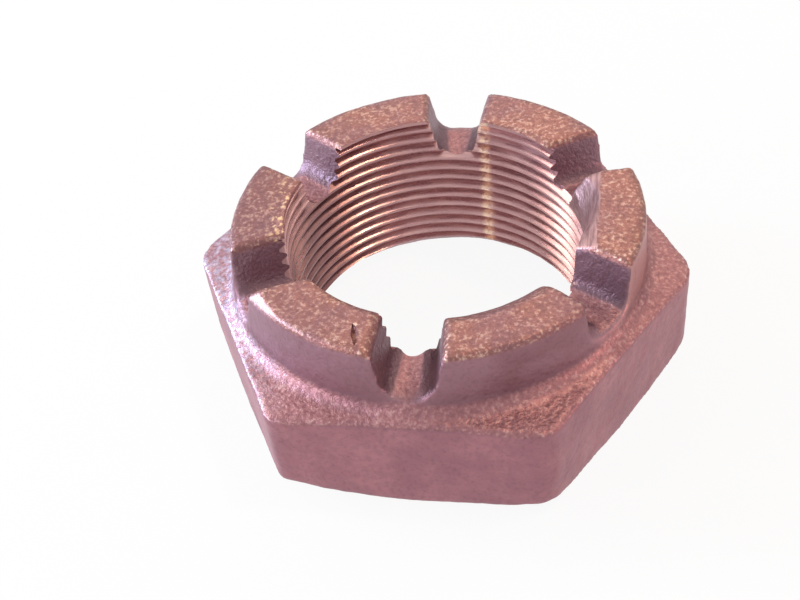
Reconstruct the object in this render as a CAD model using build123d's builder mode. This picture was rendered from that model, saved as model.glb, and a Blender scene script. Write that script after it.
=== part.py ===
"""Castle nut for an M36 x 1.5 axle thread: a hot-forged hexagon with a six-slot crown.

The nut is one forging. A turned section gives the bearing face, the cone under the corners, the
sloping shoulder, the drafted crown and the bore, and a hexagonal prism trims it to the wrench flats.
Six round-bottomed slots, one over each flat, take the cotter pin. The bore is drawn at the thread's
minor diameter. Millimetres, +Z up, bearing face on Z = 0, bore on the Z axis, a flat facing -Y.
"""

import os
from math import cos, radians, tan

from build123d import *

# Hexagon
flat_count = 6
across_flats = 52.0
corner_rounding = 2.4  # forged rounding of the upright corners
flat_height = 13.5  # bearing face to a flat's top edge, at the middle of the flat
bearing_diameter = 49.4
corner_cone_angle = 30.0  # rise of the cone under the corners
shoulder_angle = 8.0  # fall of the shoulder towards the corners

# Crown
total_height = 21.5
crown_diameter = 48.6  # where its wall would meet the shoulder
crown_draft_angle = 6.0
crown_edge_rounding = 0.9  # outer top edge
root_rounding = 1.5  # between the crown's wall and the shoulder

# Slots, one over each flat
slot_depth = 5.8
slot_floor_width = 5.4  # between the walls at the floor, before rounding
slot_draft_angle = 12.0  # opening of each wall towards the top
slot_floor_rounding = 2.0
slot_lip_rounding = 0.6  # where the walls meet the crown's top

# Bore for the M36 x 1.5 thread
bore_diameter = 34.6  # minor diameter
bearing_countersink_diameter = 38.9
crown_countersink_diameter = 36.0

# Places worked out from the sizes above
flat_radius = across_flats / 2
corner_radius = flat_radius / cos(radians(180 / flat_count))
bearing_radius = bearing_diameter / 2
crown_radius = crown_diameter / 2
bore_radius = bore_diameter / 2
bearing_countersink_radius = bearing_countersink_diameter / 2
crown_countersink_radius = crown_countersink_diameter / 2
shoulder_fall = tan(radians(shoulder_angle))
shoulder_height = flat_height + (flat_radius - crown_radius) * shoulder_fall
crown_top_radius = crown_radius - (total_height - shoulder_height) * tan(radians(crown_draft_angle))
slot_floor = total_height - slot_depth

# The slot's section, cut outwards from the axis along +X. Above the crown it widens, so that its
# lips can be rounded with the rest of the section.
with BuildPart() as slot_cutter:
    with BuildSketch(Plane.YZ) as slot_section:
        floor_reach = slot_floor_width / 2
        lip_reach = floor_reach + slot_depth * tan(radians(slot_draft_angle))
        lip_corners = [(-lip_reach, total_height), (lip_reach, total_height)]
        floor_corners = [(floor_reach, slot_floor), (-floor_reach, slot_floor)]
        with BuildLine():
            Polyline(
                (-2 * lip_reach, total_height),
                lip_corners[0],
                floor_corners[1],
                floor_corners[0],
                lip_corners[1],
                (2 * lip_reach, total_height),
                (2 * lip_reach, total_height + slot_depth),
                (-2 * lip_reach, total_height + slot_depth),
                close=True,
            )
        make_face()
        for corner in lip_corners:
            fillet(slot_section.vertices().sort_by_distance(corner)[0], slot_lip_rounding)
        for corner in floor_corners:
            fillet(slot_section.vertices().sort_by_distance(corner)[0], slot_floor_rounding)
    extrude(amount=corner_radius)

with BuildPart() as castle_nut:
    # Turned section: bearing face, corner cone, shoulder, crown and countersunk bore
    with BuildSketch(Plane.XZ) as turned_section:
        cone_top = (corner_radius - bearing_radius) * tan(radians(corner_cone_angle))
        shoulder_rim = flat_height - (corner_radius - flat_radius) * shoulder_fall
        root_corner = (crown_radius, shoulder_height)
        crown_corner = (crown_top_radius, total_height)
        with BuildLine():
            Polyline(
                (bearing_countersink_radius, 0),
                (bearing_radius, 0),
                (corner_radius, cone_top),
                (corner_radius, shoulder_rim),
                root_corner,
                crown_corner,
                (crown_countersink_radius, total_height),
                (bore_radius, total_height - (crown_countersink_radius - bore_radius)),
                (bore_radius, bearing_countersink_radius - bore_radius),
                close=True,
            )
        make_face()
        fillet(turned_section.vertices().sort_by_distance(root_corner)[0], root_rounding)
        fillet(turned_section.vertices().sort_by_distance(crown_corner)[0], crown_edge_rounding)
    revolve(axis=Axis.Z)

    # Wrench flats
    with BuildSketch() as hexagon:
        RegularPolygon(flat_radius, flat_count, major_radius=False)
        fillet(hexagon.vertices(), corner_rounding)
    extrude(amount=total_height, mode=Mode.INTERSECT)

    # Cotter-pin slots, each over the middle of a flat
    with PolarLocations(0, flat_count, start_angle=180 / flat_count):
        add(slot_cutter.part, mode=Mode.SUBTRACT)

castle_nut.part.label = "castle_nut"

os.makedirs("parts", exist_ok=True)
export_step(castle_nut.part, "parts/castle_nut.step")
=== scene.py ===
"""Dresses the castle nut: forged hexagon and crown, tapped bore, floor, lamps and camera."""

from math import cos, inf, radians, sin, tan

import bpy
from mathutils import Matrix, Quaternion, Vector


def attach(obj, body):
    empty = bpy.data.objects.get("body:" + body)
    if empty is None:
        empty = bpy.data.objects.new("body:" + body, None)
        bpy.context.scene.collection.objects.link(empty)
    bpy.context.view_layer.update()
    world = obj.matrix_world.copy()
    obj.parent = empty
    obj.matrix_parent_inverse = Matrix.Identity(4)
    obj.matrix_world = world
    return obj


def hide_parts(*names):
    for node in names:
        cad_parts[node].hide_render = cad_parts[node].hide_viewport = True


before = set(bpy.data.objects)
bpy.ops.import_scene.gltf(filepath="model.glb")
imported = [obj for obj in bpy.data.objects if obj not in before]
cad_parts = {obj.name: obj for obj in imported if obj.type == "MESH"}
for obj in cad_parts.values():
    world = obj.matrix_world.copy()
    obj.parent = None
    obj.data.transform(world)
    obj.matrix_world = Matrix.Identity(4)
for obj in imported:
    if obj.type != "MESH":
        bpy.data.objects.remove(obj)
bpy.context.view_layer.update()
mm = 0.001

# ---------------------------------------------------------------------------
# The forged blank: hexagon, sloping shoulder and crown
# A bar end of medium-carbon steel, hot-forged between two dies, so its corners
# and roots are rounded and none of its faces is quite flat.
# ---------------------------------------------------------------------------
across_flats = 51.8 * mm
half_turn = radians(30)  # half the angle between neighbouring flats
corner_reach = across_flats / 2 / cos(half_turn)
upright_corners = (  # direction of the corner, rounding radius
    (0, 4.2 * mm),
    (60, 2.6 * mm),
    (120, 2.6 * mm),
    (180, 4.0 * mm),
    (240, 1.8 * mm),
    (300, 3.0 * mm),
)
blank_bottom = -0.4 * mm  # trimmed to zero once the skin is made
crown_height = 21.4 * mm
spare_bar = 2 * mm  # what the bar end has over the blank's height, for the envelope to trim


def work_on(piece):
    """Makes one object the only selected one and the active one."""
    bpy.ops.object.select_all(action="DESELECT")
    piece.select_set(True)
    bpy.context.view_layer.objects.active = piece


def in_place():
    """The object just added or moved, once its place, turn and size are put into its mesh."""
    bpy.ops.object.transform_apply(location=True, rotation=True, scale=True)
    return bpy.context.object


def pick(piece, kind, test):
    """Opens the piece in edit mode with only the vertices, edges or polygons selected that pass the test."""
    work_on(piece)
    kinds = ("vertices", "edges", "polygons")
    bpy.context.tool_settings.mesh_select_mode = tuple(kind == k for k in kinds)
    for domain in (piece.data.vertices, piece.data.edges, piece.data.polygons):
        domain.foreach_set("select", [False] * len(domain))
    for item in getattr(piece.data, kind):
        item.select = test(item)
    bpy.ops.object.mode_set(mode="EDIT")


def shift(piece, test, value, **settings):
    """Moves the piece's vertices that pass the test."""
    pick(piece, "vertices", test)
    bpy.ops.transform.translate(value=value, **settings)
    bpy.ops.object.mode_set(mode="OBJECT")


def ends(piece, edge):
    """The two end points of an edge."""
    return [piece.data.vertices[i].co for i in edge.vertices]


def round_off(piece, test, **settings):
    """Bevels the piece's edges that pass the test."""
    pick(piece, "edges", test)
    bpy.ops.mesh.bevel(**settings)
    bpy.ops.object.mode_set(mode="OBJECT")


def modify(piece, kind, **settings):
    """Adds a modifier with these settings and applies it."""
    work_on(piece)
    modifier = piece.modifiers.new(kind.lower(), kind)
    for name, value in settings.items():
        setattr(modifier, name, value)
    bpy.ops.object.modifier_apply(modifier=modifier.name)


def cut(piece, tool, operation="DIFFERENCE", **settings):
    """Cuts the piece with the tool and throws the tool away."""
    modify(piece, "BOOLEAN", operation=operation, object=tool, solver="EXACT", **settings)
    bpy.data.objects.remove(tool)
    if not piece.data.polygons:
        raise RuntimeError("a cut took the whole piece away")


def towards(direction, rise=0):
    """A unit vector in a compass direction, raised above level, both in degrees."""
    turn, lift = radians(direction), radians(rise)
    return Vector((cos(turn) * cos(lift), sin(turn) * cos(lift), sin(lift)))


# The bar end is a hexagonal prism with rounded corners.
near_corner = 0.5 * mm
bpy.ops.object.select_all(action="DESELECT")
bpy.ops.mesh.primitive_cylinder_add(
    vertices=6,
    radius=corner_reach,
    depth=crown_height - blank_bottom + spare_bar,
    location=(0, 0, (crown_height + blank_bottom) / 2),
    rotation=(0, 0, half_turn),
)
nut = in_place()
nut.name = nut.data.name = "forged_castle_nut"
for direction, rounding in upright_corners:
    tip = towards(direction) * corner_reach
    round_off(
        nut,
        lambda e: all((p.xy - tip.xy).length < near_corner for p in ends(nut, e)),
        offset=rounding * tan(half_turn),
        segments=5,
    )

# A turned envelope gives it the cone under the corners, the shoulder and the crown,
# with a shallow dish at each end where the bore will open.
dish_floor_radius = 16.0 * mm  # inside the bore to come
lower_dish_top = 3.45 * mm
lower_dish_radius = 19.85 * mm
cone_angle = radians(30)
cone_foot_radius = 24.0 * mm  # at the bottom of the blank
cone_radius_at_zero = 24.7 * mm
beyond_corners = 33 * mm
shoulder_height = 13.74 * mm  # at the crown's foot
shoulder_fall = tan(radians(8))
crown_foot_radius = 24.3 * mm
crown_top_radius = 23.7 * mm
upper_dish_radius = 17.2 * mm
upper_dish_depth = 1.2 * mm
rings = (  # radius and height, from the dish in the bearing face to the dish in the crown
    (dish_floor_radius, lower_dish_top),
    (lower_dish_radius, blank_bottom),
    (cone_foot_radius, blank_bottom),
    (beyond_corners, (beyond_corners - cone_radius_at_zero) * tan(cone_angle)),
    (beyond_corners, shoulder_height - (beyond_corners - crown_foot_radius) * shoulder_fall),
    (crown_foot_radius, shoulder_height),
    (crown_top_radius, crown_height),
    (upper_dish_radius, crown_height),
    (dish_floor_radius, crown_height - upper_dish_depth),
)
bpy.ops.object.select_all(action="DESELECT")
bpy.ops.mesh.primitive_circle_add(
    vertices=180,
    radius=dish_floor_radius,
    fill_type="NGON",
    location=(0, 0, lower_dish_top),
)
envelope = in_place()
bpy.ops.object.mode_set(mode="EDIT")
bpy.ops.mesh.select_all(action="SELECT")
for (radius, height), (next_radius, next_height) in zip(rings, rings[1:]):
    bpy.ops.mesh.extrude_region_move(TRANSFORM_OT_translate={"value": (0, 0, next_height - height)})
    growth = next_radius / radius
    bpy.ops.transform.resize(value=(growth, growth, 1), center_override=(0, 0, 0))
bpy.ops.mesh.select_all(action="SELECT")
bpy.ops.mesh.normals_make_consistent(inside=False)
bpy.ops.object.mode_set(mode="OBJECT")

on_ring = 0.02 * mm
root_rounding = 1.9 * mm
root_turn = radians(76)  # between the shoulder and the crown's wall
crown_edge_rounding = 0.8 * mm
for radius, height, settings in (
    (crown_foot_radius, shoulder_height, {"offset": root_rounding * tan(root_turn / 2), "segments": 6}),
    (crown_top_radius, crown_height, {"offset": crown_edge_rounding, "segments": 4}),
):
    round_off(
        envelope,
        lambda e: all(
            abs(p.xy.length - radius) < on_ring and abs(p.z - height) < on_ring for p in ends(envelope, e)
        ),
        **settings,
    )

# The upper die stood a little to the right, so the crown leans that way.
die_offset = (0.18 * mm, 0.08 * mm, 0)
above_root = shoulder_height + 3 * mm
outside_dish = 20 * mm
shift(envelope, lambda v: v.co.z > above_root and v.co.xy.length > outside_dish, die_offset)
cut(nut, envelope, "INTERSECT")

# The corner at the front right is trimmed less than the others underneath.
full_corner = towards(300) * corner_reach
corner_width = 1.2 * mm
corner_foot, corner_middle = 0.2 * mm, 4 * mm
fullness, fullness_spread = 1.1 * mm, 11 * mm
shift(
    nut,
    lambda v: corner_foot < v.co.z < corner_middle and (v.co.xy - full_corner.xy).length < corner_width,
    (0, 0, -fullness),
    use_proportional_edit=True,
    proportional_edit_falloff="SMOOTH",
    proportional_size=fullness_spread,
)

# ---------------------------------------------------------------------------
# The six cotter-pin slots
# Pressed into the crown while it was hot, one over each flat, with walls that
# open towards the top. The punch was worn and went in a little askew each time,
# so no two slots are quite alike.
# ---------------------------------------------------------------------------
slot_floor = crown_height - 5.7 * mm
slot_half_width = 3.8 * mm  # at the top of the crown
slot_draft = tan(radians(11))
punch_start, punch_end = 15.5 * mm, 26.0 * mm
punch_tolerance = 0.1 * mm  # how near to a plane of the punch its own points lie
on_plane = 0.001 * mm  # how near to a cutting plane a point counts as lying on it
mouth_depth = 0.8 * mm
mouth_foot = crown_height - mouth_depth  # the walls' upper edges are worn back above this
mouth_reach = 3  # how far the punch goes on upwards from there, in mouth depths
lip = 22.5 * mm  # where the floor starts to fall away outwards
outer_wear = 0.3  # how far every wall's upper edge is worn back at the outside, in mm
foot_setback = 0.8  # a bevel's offset over its radius, at the foot of these walls
slots = (
    # direction; the floor's rise; the floor's fall beyond the lip; how far the clockwise
    # wall flares there; and then for the clockwise wall and for the other one: where it
    # stands at the bore and at the outside, how far its upper edge is worn back at the
    # bore, and the rounding at its foot (all in mm but the direction)
    (30, 0.0, 1.0, 0.0, (1.3, 4.2, 0.3, 1.2), (4.6, 4.5, 0.3, 2.0)),
    (90, 0.0, 1.0, 0.0, (3.4, 4.1, 0.3, 2.3), (2.7, 4.1, 0.3, 2.2)),
    (150, 0.0, 1.0, 0.0, (3.1, 3.7, 0.3, 2.2), (4.1, 4.4, 0.3, 2.2)),
    (210, 0.0, 1.0, 0.0, (3.4, 3.9, 0.3, 1.8), (4.6, 3.2, 0.3, 1.0)),
    (270, -0.1, 1.1, 0.0, (3.2, 3.5, 1.1, 2.0), (3.4, 4.1, 0.5, 3.1)),
    (330, 0.2, 0.3, 4.0, (3.2, 3.8, 0.3, 2.3), (4.0, 4.0, 0.6, 1.6)),
)

# The punch is drawn along +X up to the foot of the mouth, and then drawn on upwards.
bpy.ops.object.select_all(action="DESELECT")
bpy.ops.mesh.primitive_cube_add(
    size=1,
    location=((punch_start + punch_end) / 2, 0, (slot_floor + mouth_foot) / 2),
    scale=(punch_end - punch_start, 2 * slot_half_width, mouth_foot - slot_floor),
)
punch = in_place()
for height in (slot_floor, mouth_foot):
    pick(
        punch,
        "polygons",
        lambda f: abs(f.normal.z) > 0.9 and abs(f.center.z - height) < punch_tolerance,
    )
    narrowing = 1 - (crown_height - height) * slot_draft / slot_half_width
    bpy.ops.transform.resize(value=(1, narrowing, 1), center_override=(0, 0, 0))
    bpy.ops.object.mode_set(mode="OBJECT")
widening = 1 + mouth_reach * mouth_depth * slot_draft / slot_half_width
pick(punch, "polygons", lambda f: f.normal.z > 0.9)
bpy.ops.mesh.extrude_region_move(TRANSFORM_OT_translate={"value": (0, 0, mouth_reach * mouth_depth)})
bpy.ops.transform.resize(value=(1, widening, 1), center_override=(0, 0, 0))
bpy.ops.object.mode_set(mode="OBJECT")

for direction, rise, fall, flared, clockwise_wall, other_wall in slots:
    work_on(punch)
    bpy.ops.object.duplicate()
    one_punch = bpy.context.object
    for side, (at_bore, outside, worn_back, _) in ((-1, clockwise_wall), (1, other_wall)):
        for end, place, worn in ((punch_start, at_bore, worn_back), (punch_end, outside, outer_wear)):
            shift(
                one_punch,
                lambda v: v.co.y * side > 0 and abs(v.co.x - end) < punch_tolerance,
                (0, side * (place * mm - slot_half_width), 0),
            )
            shift(
                one_punch,
                lambda v: v.co.y * side > 0
                and abs(v.co.x - end) < punch_tolerance
                and v.co.z > crown_height,
                (0, side * mouth_reach * worn * mm, 0),
            )
    pick(one_punch, "vertices", lambda v: True)
    bpy.ops.mesh.bisect(plane_co=(lip, 0, 0), plane_no=(1, 0, 0), threshold=on_plane)
    bpy.ops.object.mode_set(mode="OBJECT")
    shift(
        one_punch,
        lambda v: v.co.x > lip + mm and v.co.z < slot_floor + punch_tolerance,
        (0, 0, -fall * mm),
    )
    shift(one_punch, lambda v: v.co.x > lip + mm and v.co.y < 0, (0, -flared * mm, 0))
    for side, rounding in ((-1, clockwise_wall[3]), (1, other_wall[3])):
        round_off(
            one_punch,
            lambda e: all(p.z < slot_floor + punch_tolerance and p.y * side > 0 for p in ends(one_punch, e))
            and abs(ends(one_punch, e)[0].x - ends(one_punch, e)[1].x) > 2 * mm,
            offset=rounding * foot_setback * mm,
            segments=6,
            clamp_overlap=True,
        )
    one_punch.location = (0, 0, rise * mm)
    one_punch.rotation_euler = (0, 0, radians(direction))
    cut(nut, in_place())
bpy.data.objects.remove(punch)

# ---------------------------------------------------------------------------
# The crown's countersink and its dressing
# Turned into the crown before tapping, but off centre towards the front right.
# A file and a few blows have changed the crown's edges since.
# ---------------------------------------------------------------------------
sink_centre = (0.9 * mm, -0.6 * mm)
sink_radius = 17.75 * mm  # at the top of the crown
sink_slope = tan(radians(32))
sink_spread = 1.8 * mm  # the cone's radius grows and shrinks by this much from there
bpy.ops.object.select_all(action="DESELECT")
bpy.ops.mesh.primitive_cone_add(
    vertices=180,
    radius1=sink_radius - sink_spread,
    radius2=sink_radius + sink_spread,
    depth=2 * sink_spread * sink_slope,
    location=(*sink_centre, crown_height),
)
cut(nut, in_place())

# The right-hand segment's inner edge is filed down to a narrow straight slope.
dressed_edge, dressed_slope = 18.75 * mm, radians(23)
file_length, file_width, file_thickness = 10 * mm, 15.6 * mm, 6 * mm
bpy.ops.object.select_all(action="DESELECT")
bpy.ops.mesh.primitive_cube_add(
    size=1,
    location=(
        dressed_edge - file_thickness / 2 * sin(dressed_slope),
        0,
        crown_height + file_thickness / 2 * cos(dressed_slope),
    ),
    rotation=(0, -dressed_slope, 0),
    scale=(file_length, file_width, file_thickness),
)
cut(nut, in_place())

# Below the filed slope the wall flares steeply down into the bore.
flare_slope = tan(radians(25))
flare_radius = 10.5 * mm
flare_below, flare_above = 3.5 * mm, 2.5 * mm  # from the height where it has that radius
flare_centre = (7.7 * mm, 2.1 * mm, 20 * mm)
bpy.ops.object.select_all(action="DESELECT")
bpy.ops.mesh.primitive_cone_add(
    vertices=160,
    radius1=flare_radius - flare_below * flare_slope,
    radius2=flare_radius + flare_above * flare_slope,
    depth=flare_below + flare_above,
    location=flare_centre,
)
cut(nut, in_place())

# Blows have flattened the outer edge of the front-left segment, most at its left end.
beaten_direction, beaten_radius, beaten_height = radians(222), 22.8 * mm, 21.1 * mm
beaten_spot = Vector(
    (cos(beaten_direction) * beaten_radius, sin(beaten_direction) * beaten_radius, beaten_height)
)
hammer_length, hammer_width, hammer_thickness = 14 * mm, 12 * mm, 6 * mm
outward = towards(218, 43.8)
bpy.ops.object.select_all(action="DESELECT")
bpy.ops.mesh.primitive_cube_add(
    size=1,
    location=beaten_spot + outward * (hammer_thickness / 2),
    rotation=outward.to_track_quat("Z", "Y").to_euler(),
    scale=(hammer_length, hammer_width, hammer_thickness),
)
cut(nut, in_place())

# The forging's skin: a fine even mesh, smoothed to the roundings that hot steel
# keeps, then pushed in and out a little as a die and scale leave it.
skin_mesh = 0.36 * mm
modify(nut, "REMESH", mode="VOXEL", voxel_size=skin_mesh)
modify(nut, "SMOOTH", factor=0.5, iterations=4)
for name, size, depth in (("die_wear", 7 * mm, 0.22 * mm), ("scale_pits", 1.6 * mm, 0.12 * mm)):
    unevenness = bpy.data.textures.new(name, "CLOUDS")
    unevenness.noise_scale = size
    unevenness.noise_depth = 2
    modify(nut, "DISPLACE", texture=unevenness, texture_coords="LOCAL", strength=depth, mid_level=0.6)

# The bearing face is turned flat.
pick(nut, "vertices", lambda v: True)
bpy.ops.mesh.bisect(
    plane_co=(0, 0, 0),
    plane_no=(0, 0, 1),
    clear_inner=True,
    use_fill=True,
    threshold=on_plane,
)
bpy.ops.object.mode_set(mode="OBJECT")


def inside(point, low, high):
    """True for a point in the box between two corners."""
    return all(a < p < b for a, p, b in zip(low, point, high))


# The filed slope gets a finish of its own further on, so the mesh is cut at its edge.
slope_area = (16.5 * mm, -9 * mm, 19 * mm), (20 * mm, 9 * mm, inf)
pick(nut, "polygons", lambda f: inside(f.center, *slope_area))
bpy.ops.mesh.bisect(plane_co=(dressed_edge, 0, 0), plane_no=(1, 0, 0), threshold=on_plane)
bpy.ops.object.mode_set(mode="OBJECT")

# A nick in the top of the front-left segment, beside the front slot
nick_place = (-5.35 * mm, -20.6 * mm, crown_height + 0.2 * mm)
nick_half_width, nick_half_length, nick_depth = 0.42 * mm, 1.9 * mm, 0.66 * mm
bpy.ops.object.select_all(action="DESELECT")
bpy.ops.mesh.primitive_ico_sphere_add(
    subdivisions=1,
    radius=1,
    scale=(nick_half_width, nick_half_length, nick_depth),
    location=nick_place,
    rotation=(0, 0, radians(14)),
)
cut(nut, in_place())

# ---------------------------------------------------------------------------
# The tapped bore
# M36 x 1.5, right-handed, cut with one pass of a tap, so it is bare bright
# metal with sharp crests.
# ---------------------------------------------------------------------------
pitch = 1.5 * mm
minor_radius = 17.3 * mm
thread_depth = 0.76 * mm
crest = 0.3 * mm
flank = thread_depth * tan(radians(30))
root = pitch - crest - 2 * flank
tap_start = -3.12 * mm
tap_turns = 18
steps_per_turn = 120

# The tap is a helical ridge: one pitch of the thread's profile turned up the axis, with
# its ends drawn in almost to the axis and closed over.
bpy.ops.object.select_all(action="DESELECT")
bpy.ops.mesh.primitive_plane_add(size=mm, location=(minor_radius, 0, tap_start - crest / 2))
tap = in_place()
bpy.ops.object.mode_set(mode="EDIT")
bpy.ops.mesh.select_mode(type="VERT")
bpy.ops.mesh.select_all(action="SELECT")
bpy.ops.mesh.merge(type="CENTER")
for out, up in ((0, crest), (thread_depth, flank), (0, root), (-thread_depth, flank)):
    bpy.ops.mesh.extrude_vertices_move(TRANSFORM_OT_translate={"value": (out, 0, up)})
bpy.ops.object.mode_set(mode="OBJECT")
modify(
    tap,
    "SCREW",
    axis="Z",
    angle=radians(360),
    screw_offset=pitch,
    iterations=tap_turns,
    steps=steps_per_turn,
    render_steps=steps_per_turn,
    use_merge_vertices=False,
)
pick(tap, "vertices", lambda v: True)
bpy.ops.mesh.remove_doubles(threshold=0.005 * mm)
bpy.ops.mesh.select_all(action="DESELECT")
bpy.ops.mesh.select_non_manifold()
bpy.ops.mesh.extrude_edges_move()
bpy.ops.transform.resize(value=(0.02, 0.02, 1), center_override=(0, 0, 0))
bpy.ops.mesh.select_all(action="SELECT")
bpy.ops.mesh.fill_holes(sides=0)
bpy.ops.mesh.normals_make_consistent(inside=False)
bpy.ops.object.mode_set(mode="OBJECT")

# The thread stops short of the crown's top edge, and where the countersink ran off
# centre the tap found too little metal to cut, so that stretch stays plain. The ridge
# is cut away from each, down to its core. The core is turned a little, off the ridge's
# own facets, so that no two faces of the cut coincide.
plain_radius = 17.2 * mm
plain_height = 10 * mm
core_height = 60 * mm
off_facets = radians(1.2)
plain_stretches = (  # place of the middle, lowest point, length and width
    ((0, 0), 20.75 * mm, 44 * mm, 44 * mm),
    ((18 * mm, 0.9 * mm), 15.3 * mm, 8 * mm, 15 * mm),
)
for middle, lowest, length, width in plain_stretches:
    bpy.ops.object.select_all(action="DESELECT")
    bpy.ops.mesh.primitive_cube_add(
        size=1,
        location=(*middle, lowest + plain_height / 2),
        scale=(length, width, plain_height),
    )
    plain = in_place()
    bpy.ops.object.select_all(action="DESELECT")
    bpy.ops.mesh.primitive_cylinder_add(
        vertices=steps_per_turn,
        radius=plain_radius,
        depth=core_height,
        rotation=(0, 0, off_facets),
    )
    cut(plain, in_place())
    cut(tap, plain)

# ---------------------------------------------------------------------------
# The finishes
# The outside is left as forged and shot-blasted, the thread as the tap cut it,
# and the bearing face and the dressed places as they were turned or filed.
# ---------------------------------------------------------------------------


def srgb(code):
    """Turns an sRGB hex colour into the linear values that a shader takes."""
    parts = [int(code[i : i + 2], 16) / 255 for i in (1, 3, 5)]
    return [p / 12.92 if p <= 0.04045 else ((p + 0.055) / 1.055) ** 2.4 for p in parts] + [1.0]


def add(tree, kind, settings=(), links=()):
    """Adds a node with its settings, and sets or links its inputs, each known by name or number."""
    new = tree.nodes.new(kind)
    for name, value in dict(settings).items():
        setattr(new, name, value)
    for socket, value in dict(links).items():
        if isinstance(value, bpy.types.NodeSocket):
            tree.links.new(value, new.inputs[socket])
        else:
            new.inputs[socket].default_value = value
    return new


# Inputs known by number: a Map Range node's are 0 the value, 1 and 2 its range, 3 and 4
# what that becomes, and a colour Mix node's are 0 the share, 6 and 7 the two colours.
times = {"operation": "MULTIPLY"}
larger = {"operation": "MAXIMUM"}
colours = {"data_type": "RGBA"}
level_only = (1, 1, 0)

# Shot-blasted forged steel: a matt brown metal with a mauve bloom. The grit struck
# the upward faces hardest and left them rough and browner, and small painted glints
# stand on them; the upright faces were wiped by the die and stayed smoother and
# cooler, and the walls that the punch pressed are the greyest. Painted shade and
# painted highlights are laid on in places below.
forged = bpy.data.materials.new("shot_blasted_forged_steel")
forged.use_nodes = True
tree = forged.node_tree
surface = tree.nodes["Principled BSDF"]
place = add(tree, "ShaderNodeTexCoord").outputs["Object"]
across, _, height = add(tree, "ShaderNodeSeparateXYZ", links={0: place}).outputs
facing = add(tree, "ShaderNodeNewGeometry").outputs
slope = add(tree, "ShaderNodeSeparateXYZ", links={0: facing["Normal"]}).outputs["Z"]

# Where a point is: on the crown, on its top, in a slot, on an upward face or a pressed wall
on_crown = add(tree, "ShaderNodeMapRange", links={0: height, 1: 12.6 * mm, 2: 13.6 * mm}).outputs[0]
on_top = add(tree, "ShaderNodeMapRange", links={0: height, 1: 20.0 * mm, 2: 20.6 * mm}).outputs[0]
above_floor = add(tree, "ShaderNodeMapRange", links={0: height, 1: 14.9 * mm, 2: 15.3 * mm}).outputs[0]
below_top = add(tree, "ShaderNodeMapRange", links={0: height, 1: 20.8 * mm, 2: 20.3 * mm}).outputs[0]
in_slot = add(tree, "ShaderNodeMath", times, {0: above_floor, 1: below_top}).outputs[0]
open_slope = add(tree, "ShaderNodeMapRange", links={0: slope, 1: 0.16, 2: 0.4}).outputs[0]
slot_slope = add(tree, "ShaderNodeMapRange", links={0: slope, 1: 0.9, 2: 0.96, 4: 0.9}).outputs[0]
upward = add(tree, "ShaderNodeMix", links={0: in_slot, 2: open_slope, 3: slot_slope}).outputs[0]
from_middle = add(tree, "ShaderNodeVectorMath", times, {0: place, 1: level_only}).outputs[0]
from_axis = add(tree, "ShaderNodeVectorMath", {"operation": "LENGTH"}, {0: from_middle}).outputs["Value"]
outwards = add(tree, "ShaderNodeVectorMath", {"operation": "NORMALIZE"}, {0: from_middle}).outputs[0]
facing_out = add(
    tree, "ShaderNodeVectorMath", {"operation": "DOT_PRODUCT"}, {0: outwards, 1: facing["Normal"]}
).outputs["Value"]
punched = add(tree, "ShaderNodeMapRange", links={0: facing_out, 1: 0.8, 2: 0.5}).outputs[0]
punched = add(tree, "ShaderNodeMath", times, {0: punched, 1: in_slot}).outputs[0]

# Clouds of tint, lumps and grit marks. Real grit leaves marks of 0.1 to 0.2 mm, too
# fine to show, so the lumps and marks are drawn a few times coarser.
clouds = add(
    tree, "ShaderNodeTexNoise", links={"Vector": place, "Scale": 1 / (6 * mm), "Detail": 4.0}
).outputs[0]
clouds = add(tree, "ShaderNodeMapRange", links={0: clouds, 1: 0.38, 2: 0.62}).outputs[0]
grit = add(
    tree,
    "ShaderNodeTexNoise",
    links={"Vector": place, "Scale": 1 / (0.46 * mm), "Detail": 2.0, "Roughness": 0.6},
).outputs[0]
lumps = add(
    tree, "ShaderNodeTexNoise", links={"Vector": place, "Scale": 1 / (0.75 * mm), "Detail": 2.0}
).outputs[0]

# The flats have a faint mottle.
flats = add(tree, "ShaderNodeMix", colours, {0: clouds, 6: srgb("#9e6a73"), 7: srgb("#b0787f")}).outputs[2]
mottle = add(tree, "ShaderNodeMapRange", links={0: lumps, 1: 0.35, 2: 0.65, 4: 0.4}).outputs[0]
flats = add(tree, "ShaderNodeMix", colours, {0: mottle, 6: flats, 7: srgb("#8c5e6a")}).outputs[2]

# The crown's wall gets a painted highlight at its right-hand end and painted shade at its foot.
wall = add(tree, "ShaderNodeMix", colours, {0: clouds, 6: srgb("#8f666e"), 7: srgb("#9a727c")}).outputs[2]
painted_right_highlight = add(tree, "ShaderNodeMapRange", links={0: across, 1: 18.5 * mm, 2: 21.5 * mm, 4: 0.6}).outputs[0]
wall = add(tree, "ShaderNodeMix", colours, {0: painted_right_highlight, 6: wall, 7: srgb("#c89490")}).outputs[2]
painted_foot_shade = add(tree, "ShaderNodeMapRange", links={0: height, 1: 16.0 * mm, 2: 14.4 * mm, 4: 0.75}).outputs[0]
wall = add(tree, "ShaderNodeMix", colours, {0: painted_foot_shade, 6: wall, 7: srgb("#7c5a64")}).outputs[2]
upright = add(tree, "ShaderNodeMix", colours, {0: on_crown, 6: flats, 7: wall}).outputs[2]
upright = add(tree, "ShaderNodeMix", colours, {0: punched, 6: upright, 7: srgb("#8c6c76")}).outputs[2]
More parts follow.
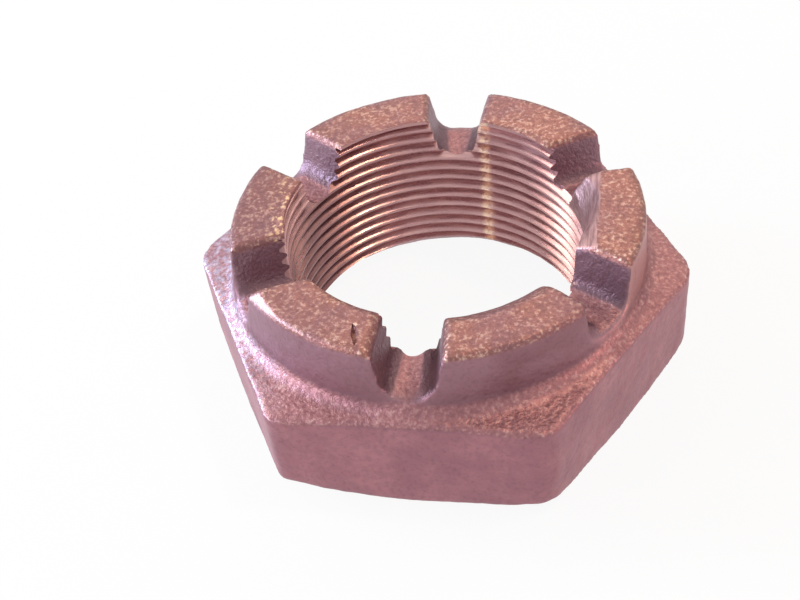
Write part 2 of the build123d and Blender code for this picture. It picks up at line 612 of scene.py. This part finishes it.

# The shoulder gets pale painted highlight flecks towards the left, but not in the slots.
shoulder = add(
    tree, "ShaderNodeMix", colours, {0: clouds, 6: srgb("#93656a"), 7: srgb("#a17072")}
).outputs[2]
painted_left_flecks = add(tree, "ShaderNodeMapRange", links={0: across, 1: -13 * mm, 2: -23 * mm}).outputs[0]
flecks = add(tree, "ShaderNodeMapRange", links={0: lumps, 1: 0.42, 2: 0.62, 3: 0.15}).outputs[0]
below_slots = add(tree, "ShaderNodeMath", {"operation": "SUBTRACT"}, {0: 1.0, 1: above_floor}).outputs[0]
for limit in (flecks, below_slots):
    painted_left_flecks = add(tree, "ShaderNodeMath", times, {0: painted_left_flecks, 1: limit}).outputs[0]
shoulder = add(tree, "ShaderNodeMix", colours, {0: painted_left_flecks, 6: shoulder, 7: srgb("#aea0b2")}).outputs[2]

# The crown's top gets painted shade towards the left.
top = add(tree, "ShaderNodeMix", colours, {0: clouds, 6: srgb("#8a6062"), 7: srgb("#97675e")}).outputs[2]
painted_top_shade = add(tree, "ShaderNodeMapRange", links={0: across, 1: -15 * mm, 2: -19 * mm, 4: 0.4}).outputs[0]
top = add(tree, "ShaderNodeMix", colours, {0: painted_top_shade, 6: top, 7: srgb("#744e50")}).outputs[2]
# The upward faces' tone; from here on it also carries painted light and painted shade.
upward_tone_and_painted_light = add(tree, "ShaderNodeMix", colours, {0: on_top, 6: shoulder, 7: top}).outputs[2]

# Painted glints: upward faces get small painted highlights where the grit struck,
# in patches and most on the edges.
painted_glints = add(tree, "ShaderNodeMapRange", links={0: grit, 1: 0.52, 2: 0.7}).outputs[0]
# worn is the painted glints' share by pointiness, highest on the edges.
worn = add(
    tree, "ShaderNodeMapRange", links={0: facing["Pointiness"], 1: 0.51, 2: 0.56, 3: 0.42, 4: 0.9}
).outputs[0]
patches = add(tree, "ShaderNodeMapRange", links={0: clouds, 3: 0.55, 4: 1.0}).outputs[0]
for limit in (worn, patches):
    painted_glints = add(tree, "ShaderNodeMath", times, {0: painted_glints, 1: limit}).outputs[0]
painted_glint_colour = add(
    tree, "ShaderNodeMix", colours, {0: on_top, 6: srgb("#d8b2ac"), 7: srgb("#f0d2c2")}
).outputs[2]
upward_tone_and_painted_light = add(tree, "ShaderNodeMix", colours, {0: painted_glints, 6: upward_tone_and_painted_light, 7: painted_glint_colour}).outputs[2]

# The left-hand segment's inner edge is chipped, and bright painted highlight flecks stand on it.
painted_chip_flecks = add(tree, "ShaderNodeMapRange", links={0: from_axis, 1: 19.4 * mm, 2: 18.2 * mm}).outputs[0]
for amount, least, most in (
    (across, -14 * mm, -16.5 * mm),
    (height, 20.4 * mm, 20.8 * mm),
    (lumps, 0.52, 0.62),
):
    limit = add(tree, "ShaderNodeMapRange", links={0: amount, 1: least, 2: most}).outputs[0]
    painted_chip_flecks = add(tree, "ShaderNodeMath", times, {0: painted_chip_flecks, 1: limit}).outputs[0]
upward_tone_and_painted_light = add(tree, "ShaderNodeMix", colours, {0: painted_chip_flecks, 6: upward_tone_and_painted_light, 7: srgb("#e8c4a0")}).outputs[2]
colour = add(tree, "ShaderNodeMix", colours, {0: upward, 6: upright, 7: upward_tone_and_painted_light}).outputs[2]

# Painted shade darkens the slots' corners, where the metal slopes and looks across the slot.
painted_corner_shade = add(tree, "ShaderNodeMapRange", links={0: slope, 1: 0.25, 2: 0.6, 4: 0.8}).outputs[0]
off_floor = add(tree, "ShaderNodeMapRange", links={0: slope, 1: 0.94, 2: 0.89}).outputs[0]
sideways = add(tree, "ShaderNodeMapRange", links={0: facing_out, 1: 0.32, 2: 0.16}).outputs[0]
for limit in (punched, off_floor, sideways):
    painted_corner_shade = add(tree, "ShaderNodeMath", times, {0: painted_corner_shade, 1: limit}).outputs[0]
colour = add(tree, "ShaderNodeMix", colours, {0: painted_corner_shade, 6: colour, 7: srgb("#6a4e56")}).outputs[2]

# Painted shade darkens the grit's hollows too, most on the crown's top.
painted_hollow_shade = add(tree, "ShaderNodeMapRange", links={0: grit, 1: 0.3, 2: 0.5, 3: 1.0, 4: 0.0}).outputs[0]
most_hollow_shade = add(tree, "ShaderNodeMapRange", links={0: on_top, 3: 0.4, 4: 0.52}).outputs[0]
hollow_shade_share = add(tree, "ShaderNodeMapRange", links={0: upward, 3: 0.25, 4: most_hollow_shade}).outputs[0]
painted_hollow_shade = add(tree, "ShaderNodeMath", times, {0: painted_hollow_shade, 1: hollow_shade_share}).outputs[0]
colour = add(tree, "ShaderNodeMix", colours, {0: painted_hollow_shade, 6: colour, 7: srgb("#64484e")}).outputs[2]

# The relief is deepest on the upward faces and the pressed walls.
beaten = add(tree, "ShaderNodeMath", larger, {0: upward, 1: punched}).outputs[0]
strength = add(tree, "ShaderNodeMapRange", links={0: beaten, 3: 0.4, 4: 0.9}).outputs[0]
relief = add(tree, "ShaderNodeMath", {"operation": "MULTIPLY_ADD"}, {0: lumps, 1: 0.8, 2: grit}).outputs[0]
bump = add(
    tree, "ShaderNodeBump", links={"Height": relief, "Strength": strength, "Distance": 0.12 * mm}
).outputs[0]
tree.links.new(colour, surface.inputs["Base Color"])
tree.links.new(bump, surface.inputs["Normal"])
surface.inputs["Metallic"].default_value = 0.7
surface.inputs["Roughness"].default_value = 0.45

# Tapped steel: cut bare and oily, so it mirrors more than the forging, with the tap's
# drag marks running round the bore. Real ones are finer than 0.1 mm, too fine to show,
# so they are drawn 0.25 mm wide.
tapped = bpy.data.materials.new("tapped_steel_thread")
tapped.use_nodes = True
tree = tapped.node_tree
surface = tree.nodes["Principled BSDF"]
place = add(tree, "ShaderNodeTexCoord").outputs["Object"]
stretched = add(tree, "ShaderNodeMapping", links={0: place, "Scale": (1, 1, 12)}).outputs[0]
drag = add(
    tree, "ShaderNodeTexNoise", links={"Vector": stretched, "Scale": 1 / (3 * mm), "Detail": 3.0}
).outputs[0]
drag = add(tree, "ShaderNodeMapRange", links={0: drag, 1: 0.35, 2: 0.65}).outputs[0]
colour = add(tree, "ShaderNodeMix", colours, {0: drag, 6: srgb("#b68a8c"), 7: srgb("#d4aaa8")}).outputs[2]
roughness = add(tree, "ShaderNodeMapRange", links={0: drag, 3: 0.22, 4: 0.36}).outputs[0]

# Painted shade darkens the left side of the bore, all but the upper crests, which stay lit.
across, _, height = add(tree, "ShaderNodeSeparateXYZ", links={0: place}).outputs
painted_bore_shade = add(tree, "ShaderNodeMapRange", links={0: across, 1: -9 * mm, 2: -15 * mm, 4: 0.7}).outputs[0]
from_middle = add(tree, "ShaderNodeVectorMath", times, {0: place, 1: level_only}).outputs[0]
from_axis = add(tree, "ShaderNodeVectorMath", {"operation": "LENGTH"}, {0: from_middle}).outputs["Value"]
behind_crest = add(
    tree, "ShaderNodeMapRange", links={0: from_axis, 1: 17.35 * mm, 2: 17.55 * mm}
).outputs[0]
deep = add(tree, "ShaderNodeMapRange", links={0: height, 1: 17.5 * mm, 2: 15.5 * mm}).outputs[0]
shaded_turns = add(tree, "ShaderNodeMath", larger, {0: behind_crest, 1: deep}).outputs[0]
painted_bore_shade = add(tree, "ShaderNodeMath", times, {0: painted_bore_shade, 1: shaded_turns}).outputs[0]
colour = add(tree, "ShaderNodeMix", colours, {0: painted_bore_shade, 6: colour, 7: srgb("#7c5456")}).outputs[2]

# A ragged painted highlight runs up the back of the bore as a bright line.
highlight_line_direction, highlight_line_radius = radians(77), 17.5 * mm
highlight_line_place = (cos(highlight_line_direction) * highlight_line_radius, sin(highlight_line_direction) * highlight_line_radius, 0)
painted_highlight_line = add(
    tree, "ShaderNodeVectorMath", {"operation": "DISTANCE"}, {0: from_middle, 1: highlight_line_place}
).outputs["Value"]
painted_highlight_line = add(tree, "ShaderNodeMapRange", links={0: painted_highlight_line, 1: 0.9 * mm, 2: 0.4 * mm}).outputs[0]
ragged = add(
    tree, "ShaderNodeTexNoise", links={"Vector": place, "Scale": 1 / (0.5 * mm), "Detail": 2.0}
).outputs[0]
ragged = add(tree, "ShaderNodeMapRange", links={0: ragged, 1: 0.34, 2: 0.54}).outputs[0]
painted_highlight_line = add(tree, "ShaderNodeMath", times, {0: painted_highlight_line, 1: ragged}).outputs[0]
colour = add(tree, "ShaderNodeMix", colours, {0: painted_highlight_line, 6: colour, 7: srgb("#ffdcc4")}).outputs[2]
tree.links.new(colour, surface.inputs["Base Color"])
tree.links.new(roughness, surface.inputs["Roughness"])
surface.inputs["Metallic"].default_value = 0.75

# Turned and filed steel: the filed slope and the flare below it, the flattened edge and
# the bearing face. It is a paler grey than the forging, with scratches along the filed
# slope. Real ones are finer than 0.1 mm, too fine to show, so they are drawn about
# 0.4 mm wide.
turned = bpy.data.materials.new("turned_steel")
turned.use_nodes = True
tree = turned.node_tree
surface = tree.nodes["Principled BSDF"]
place = add(tree, "ShaderNodeTexCoord").outputs["Object"]
stretched = add(tree, "ShaderNodeMapping", links={0: place, "Scale": (8, 1, 6)}).outputs[0]
scratches = add(
    tree,
    "ShaderNodeTexNoise",
    links={"Vector": stretched, "Scale": 1 / (3 * mm), "Detail": 3.0, "Roughness": 0.65},
).outputs[0]
scratches = add(tree, "ShaderNodeMapRange", links={0: scratches, 1: 0.38, 2: 0.62}).outputs[0]
colour = add(
    tree, "ShaderNodeMix", colours, {0: scratches, 6: srgb("#8c6868"), 7: srgb("#b28c88")}
).outputs[2]
bump = add(
    tree, "ShaderNodeBump", links={"Height": scratches, "Strength": 0.4, "Distance": 0.05 * mm}
).outputs[0]
tree.links.new(colour, surface.inputs["Base Color"])
tree.links.new(bump, surface.inputs["Normal"])
surface.inputs["Metallic"].default_value = 0.8
surface.inputs["Roughness"].default_value = 0.42

# The tap cuts its ridge out of the nut and leaves its own finish behind.
for finish in (forged, tapped, turned):
    nut.data.materials.append(finish)
tap.data.materials.append(tapped)
cut(nut, tap, material_mode="TRANSFER")

# What is turned or filed: the slope with its flare, the flattened edge, the bearing face
slope_and_flare = (14.5 * mm, -6.6 * mm, 15.3 * mm), (dressed_edge, 8.4 * mm, inf)
beaten_low, beaten_reach = 18 * mm, 9 * mm
bearing_top = 0.05 * mm
turned_places = (
    lambda f: inside(f.center, *slope_and_flare) and f.normal.x < -0.2 and abs(f.normal.y) < 0.6,
    lambda f: f.normal.dot(outward) > 0.95
    and f.center.z > beaten_low
    and (f.center - beaten_spot).length < beaten_reach,
    lambda f: f.normal.z < -0.98 and f.center.z < bearing_top,
)
nut.active_material_index = nut.data.materials.find(turned.name)
for is_turned in turned_places:
    pick(nut, "polygons", is_turned)
    bpy.ops.object.material_slot_assign()
    bpy.ops.object.mode_set(mode="OBJECT")

# The thread's outline stays crisp, and whatever bends by less than 50 degrees is smooth.
nut.active_material_index = nut.data.materials.find(tapped.name)
bpy.ops.object.mode_set(mode="EDIT")
bpy.ops.mesh.select_all(action="DESELECT")
bpy.ops.object.material_slot_select()
bpy.ops.mesh.region_to_loop()
bpy.ops.mesh.mark_sharp()
bpy.ops.object.mode_set(mode="OBJECT")
bpy.ops.object.shade_smooth_by_angle(angle=radians(50), keep_sharp_edges=True)

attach(nut, "root")
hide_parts("castle_nut")

# ---------------------------------------------------------------------------
# Floor, world, lamps and camera
# A matt white card lies under the nut in a plain white studio. Round softboxes
# stand about it: the two wide ones are cool, and the small ones mostly warm.
# ---------------------------------------------------------------------------
floor_radius = 1.6
floor_drop = 0.02 * mm  # below the bearing face
floor_glow = 0.92  # the share of plain white in the card as the camera and the metal see it
white = (1, 1, 1, 1)


def seen_directly(tree):
    """1 for camera, glossy and transmission rays, so that metal mirrors the white too."""
    rays = add(tree, "ShaderNodeLightPath").outputs
    seen = rays["Is Camera Ray"]
    for ray in ("Is Glossy Ray", "Is Transmission Ray"):
        seen = add(tree, "ShaderNodeMath", larger, {0: seen, 1: rays[ray]}).outputs[0]
    return seen


bpy.ops.object.select_all(action="DESELECT")
bpy.ops.mesh.primitive_circle_add(
    vertices=64,
    radius=floor_radius,
    fill_type="NGON",
    location=(0, 0, -floor_drop),
)
floor = bpy.context.object
floor.name = "white_card_floor"
card = bpy.data.materials.new("matt_white_card")
card.use_nodes = True
tree = card.node_tree
paper = tree.nodes["Principled BSDF"]
paper.inputs["Base Color"].default_value = srgb("#f2f0f0")
paper.inputs["Roughness"].default_value = 0.9
paper.inputs["Specular IOR Level"].default_value = 0.1
share = add(tree, "ShaderNodeMath", times, {0: seen_directly(tree), 1: floor_glow}).outputs[0]
glow = add(tree, "ShaderNodeEmission", links={0: white, 1: 1.0}).outputs[0]
both = add(tree, "ShaderNodeMixShader", links={0: share, 1: paper.outputs[0], 2: glow}).outputs[0]
tree.links.new(both, tree.nodes["Material Output"].inputs["Surface"])
floor.data.materials.append(card)

world = bpy.context.scene.world or bpy.data.worlds.new("white_studio")
bpy.context.scene.world = world
world.use_nodes = True
tree = world.node_tree
soft = tree.nodes["Background"]
soft.inputs["Color"].default_value = srgb("#ffffff")
soft.inputs["Strength"].default_value = 0.35
plain_white = add(tree, "ShaderNodeBackground", links={0: white, 1: 1.0}).outputs[0]
both = add(
    tree, "ShaderNodeMixShader", links={0: seen_directly(tree), 1: soft.outputs[0], 2: plain_white}
).outputs[0]
tree.links.new(both, tree.nodes["World Output"].inputs["Surface"])

lamp_distance = 0.9
lamp_target = Vector((0, 0, 10 * mm))
softboxes = (  # name, direction and height in degrees, size in m, power in W, colour
    ("left_low_softbox", 174, 16, 0.4, 10.0, "#c6e0ff"),
    ("left_high_softbox", 157, 44, 0.22, 1.2, "#fff0e0"),
    ("back_left_softbox", 128, 34, 0.25, 0.4, "#e4e8ff"),
    ("right_softbox", 16, 66, 0.12, 1.8, "#ffe0b8"),
    ("back_softbox", 93, 42, 0.25, 1.1, "#ffe4cc"),
    ("back_right_softbox", 50, 31, 0.15, 0.5, "#ffe4c4"),
    ("right_low_softbox", 352, 8, 0.3, 1.4, "#ffbcb0"),
    ("front_softbox", 215, 18, 0.5, 3.0, "#f4f0ff"),
)
for name, direction, rise, size, power, tint in softboxes:
    away = towards(direction, rise)
    bpy.ops.object.light_add(type="AREA", location=away * lamp_distance + lamp_target)
    lamp = bpy.context.object
    lamp.name = lamp.data.name = name
    lamp.rotation_euler = (-away).to_track_quat("-Z", "Y").to_euler()
    lamp.data.shape = "DISK"
    lamp.data.size = size
    lamp.data.energy = power
    lamp.data.color = srgb(tint)[:3]

# The camera looks down on the nut from the front and a little to the right, and
# is held a few degrees off level.
aim = Vector((-4.032, -4.783, 11.097)) * mm
camera_direction, camera_rise = 270 + 14.041, 43.414
camera_roll = radians(-7.423)
camera_distance = 136.927 * mm
back = towards(camera_direction, camera_rise)
bpy.ops.object.camera_add(location=aim + back * camera_distance)
camera = bpy.context.object
camera.rotation_mode = "QUATERNION"
camera.rotation_quaternion = (-back).to_track_quat("-Z", "Y") @ Quaternion((0, 0, 1), camera_roll)
camera.data.lens = 52.356
camera.data.sensor_width = 36
camera.data.clip_start, camera.data.clip_end = 0.01, 20
bpy.context.scene.camera = camera
bpy.context.scene.view_settings.view_transform = "Standard"
